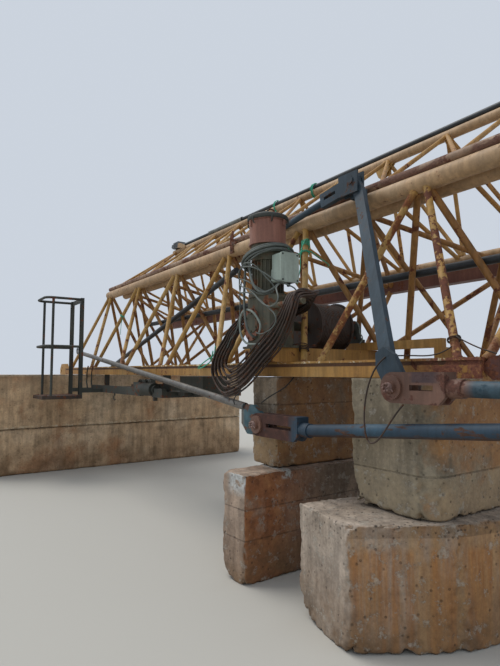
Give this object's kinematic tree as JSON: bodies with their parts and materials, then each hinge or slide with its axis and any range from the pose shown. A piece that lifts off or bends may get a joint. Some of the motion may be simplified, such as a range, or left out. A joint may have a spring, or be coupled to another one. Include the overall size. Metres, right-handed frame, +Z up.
{
  "type": "tower crane jib foot section with hoist winch, stored on ballast blocks",
  "caption": "Dismantled tower crane stored on its concrete ballast: lattice jib with built-in hoist winch, trolley with service basket, tie bars and spare sections.",
  "frame": {"origin": "on the ground, on the underside of the middle stack's lower block, below the hoist winch", "axes": "+X along the jib, away from its foot; +Y across the jib, away from the basket; +Z up"},
  "size_m": [8.2356, 3.9, 3.2553],
  "materials": {
    "yellow_paint": "weathered yellow paint, peeling to rust",
    "rusty_rail": "running surface, bare and rusty",
    "red_paint": "faded red primer with rust",
    "blue_paint": "weathered blue-grey paint",
    "dark_paint": "weathered dark grey paint",
    "galvanised": "dull galvanised steel",
    "winch_green": "old grey-green paint with rust patches",
    "cover_red": "dull red paint gone to rust",
    "box_plastic": "grey-green moulded housing",
    "wire_rope": "greased steel wire rope, brown with rust",
    "cable_rubber": "grey cable sheath, dusty",
    "concrete": "cast concrete stained with earth"
  },
  "bodies": {
    "root": {"top_chord": "yellow_paint", "front_bottom_chord": "yellow_paint", "rear_bottom_chord": "yellow_paint", "front_rail": "rusty_rail", "rear_rail": "rusty_rail", "front_web": "yellow_paint", "rear_web": "yellow_paint", "bottom_bracing": "yellow_paint", "front_foot_lug": "yellow_paint", "rear_foot_lug": "yellow_paint", "front_end_lug": "red_paint", "rear_end_lug": "red_paint", "top_end_lug": "yellow_paint", "winch_frame": "yellow_paint", "drum_bearing": "dark_paint", "gearbox": "winch_green", "motor": "winch_green", "brake_cover": "cover_red", "terminal_box": "box_plastic", "top_clevis": "blue_paint", "lying_tie_bar": "blue_paint", "hanger_bar": "blue_paint", "clevis_pin": "red_paint", "fork_eye": "galvanised", "fork_pin": "red_paint", "upper_front_chord": "red_paint", "upper_rear_chord": "yellow_paint", "upper_apex_chord": "yellow_paint", "upper_front_web": "yellow_paint", "upper_rear_web": "yellow_paint", "upper_cross_bars": "yellow_paint", "top_pipe": "dark_paint", "lamp_box": "galvanised", "sister_top_chord": "yellow_paint", "sister_low_chord": "yellow_paint", "sister_outer_chord": "red_paint", "sister_web": "yellow_paint", "sister_pipe": "dark_paint", "stored_pipe": "dark_paint", "wall_lower_course": "concrete", "wall_upper_course": "concrete", "mid_lower_block": "concrete", "mid_upper_block": "concrete", "right_lower_block": "concrete", "right_upper_block": "concrete", "rope_hank": "wire_rope", "rope_lead": "wire_rope", "cable_coil": "cable_rubber", "cable_tail": "cable_rubber", "cable_loop": "cable_rubber", "thin_cable": "cable_rubber", "tie_wire": "wire_rope"},
    "drum_body": {"drum": "wire_rope"},
    "trolley": {"trolley_frame": "dark_paint", "trolley_wheels": "dark_paint", "basket_floor": "red_paint", "basket_rails": "dark_paint"},
    "sheaves": {"trolley_sheaves": "dark_paint"},
    "clevis_bar": {"clevis_tie_bar": "red_paint"},
    "fork_bar": {"fork_tie_bar": "blue_paint"}
  },
  "joints": [
    {"name": "drum_spin", "type": "hinge", "parent": "root", "child": "drum_body", "pos_m": [0.03, 0, 1.6663], "axis": [0, 1, 0], "continuous": true},
    {"name": "trolley_travel", "type": "slide", "parent": "root", "child": "trolley", "axis": [1, 0, 0], "range_m": [-0.1, 1.05]},
    {"name": "sheave_spin", "type": "hinge", "parent": "trolley", "child": "sheaves", "pos_m": [-3.46, 0, 1.13], "axis": [0, 1, 0], "continuous": true},
    {"name": "clevis_bar_swing", "type": "hinge", "parent": "root", "child": "clevis_bar", "pos_m": [1.228, -0.646, 1.256], "axis": [0, -1, 0], "range_deg": [-0.5, 45]},
    {"name": "fork_bar_swing", "type": "hinge", "parent": "root", "child": "fork_bar", "pos_m": [0.082, -0.646, 0.982], "axis": [0, -1, 0], "range_deg": [-12, 0.5]}
  ]
}
